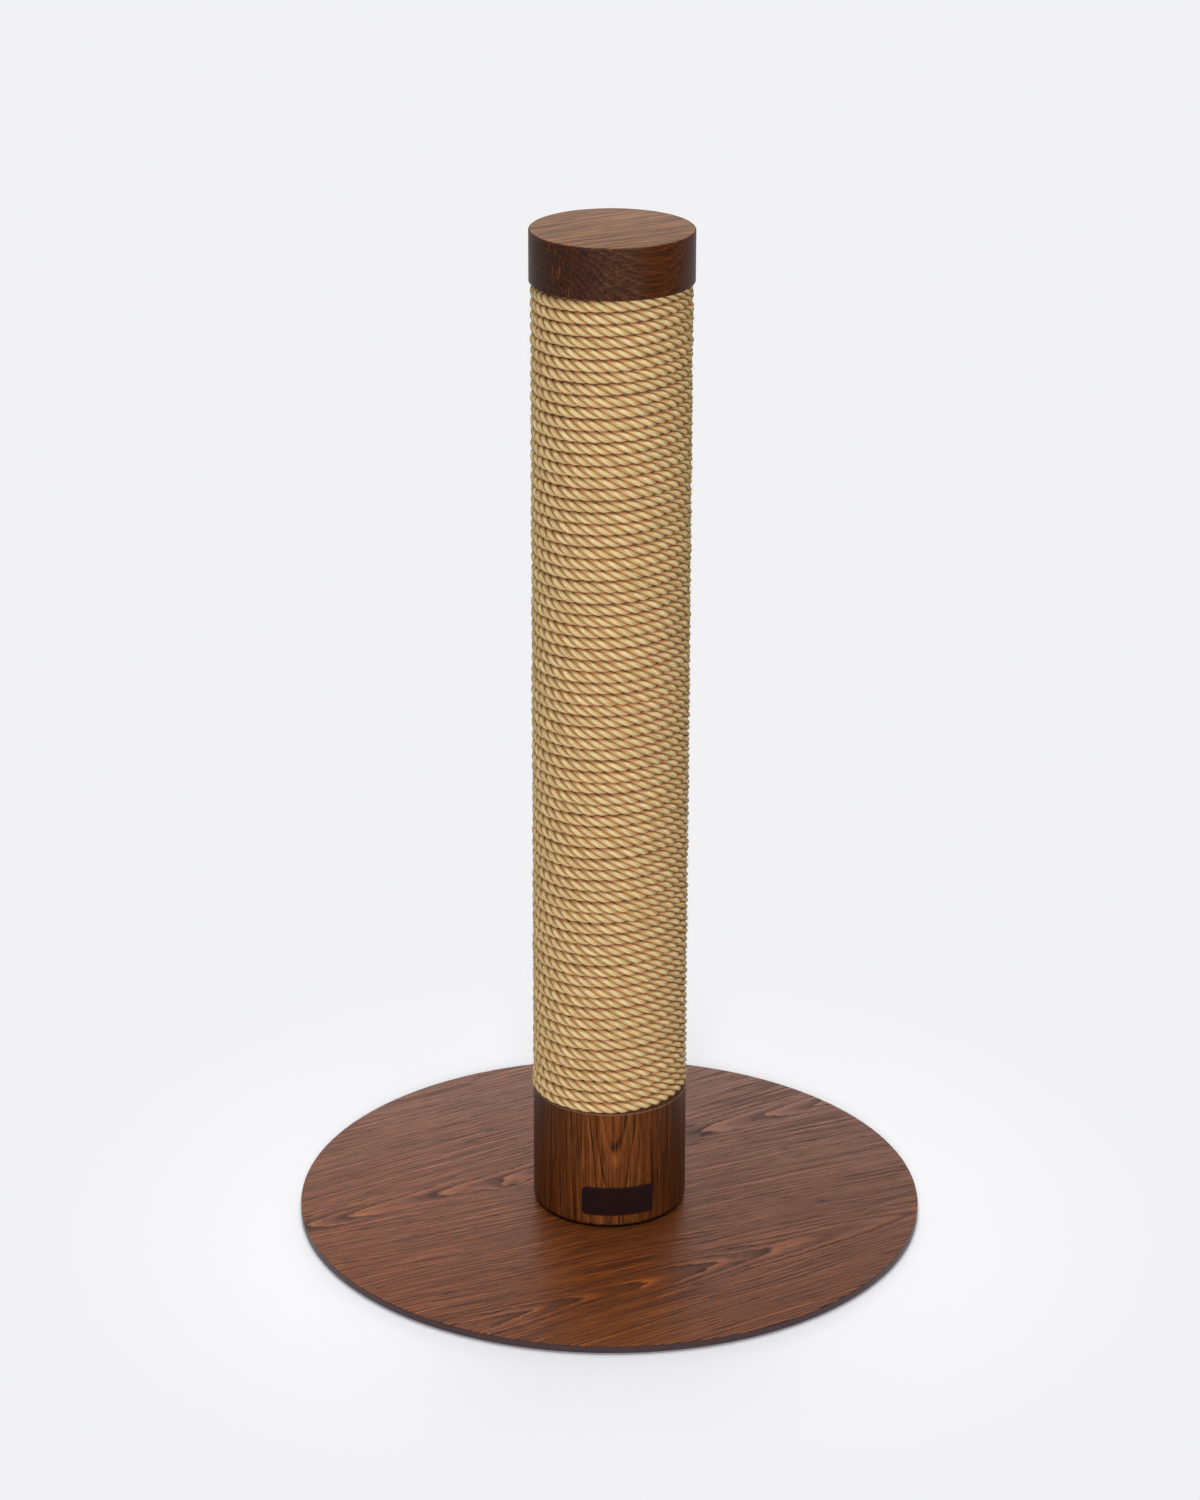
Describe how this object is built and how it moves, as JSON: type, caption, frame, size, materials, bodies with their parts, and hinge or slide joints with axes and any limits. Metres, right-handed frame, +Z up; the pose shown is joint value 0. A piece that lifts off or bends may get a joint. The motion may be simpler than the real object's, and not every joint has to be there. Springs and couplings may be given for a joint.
{
  "type": "cat scratching post",
  "caption": "Free-standing cat scratching post: a rope-wound column between a turned wood collar and cap, on a thin round veneered base plate.",
  "frame": {"origin": "on the floor under the post's axis, at the underside of the felt pads", "axes": "+Z up along the post, -Y towards the side that carries the badge"},
  "size_m": [0.4, 0.4, 0.6478],
  "materials": {
    "felt": "dark grey pressed felt",
    "plate_steel": "satin dark grey-brown paint",
    "base_wood": "satin oiled walnut veneer with straight grain and flame figure",
    "turned_wood": "satin oiled solid walnut",
    "badge": "dark brown matt label, bare",
    "paper_tube": "spiral-wound brown paper",
    "rope": "golden three-strand jute",
    "zinc_steel": "bright zinc plate",
    "insert_brass": "plain brass"
  },
  "bodies": {
    "root": {"felt_pad_1": "felt", "felt_pad_2": "felt", "felt_pad_3": "felt", "felt_pad_4": "felt", "felt_pad_5": "felt", "felt_pad_6": "felt", "base_plate": "plate_steel", "base_veneer": "base_wood", "foot_collar": "turned_wood", "name_badge": "badge", "core_tube": "paper_tube", "rope_winding": "rope", "top_cap": "turned_wood", "tie_rod": "zinc_steel", "rod_washer": "zinc_steel", "rod_nut": "zinc_steel", "cap_insert": "insert_brass", "base_insert_1": "insert_brass", "base_insert_2": "insert_brass", "base_insert_3": "insert_brass", "base_insert_4": "insert_brass", "base_screw_1": "zinc_steel", "base_screw_2": "zinc_steel", "base_screw_3": "zinc_steel", "base_screw_4": "zinc_steel", "rope_tack_lower": "zinc_steel", "rope_tack_upper": "zinc_steel"}
  },
  "joints": []
}
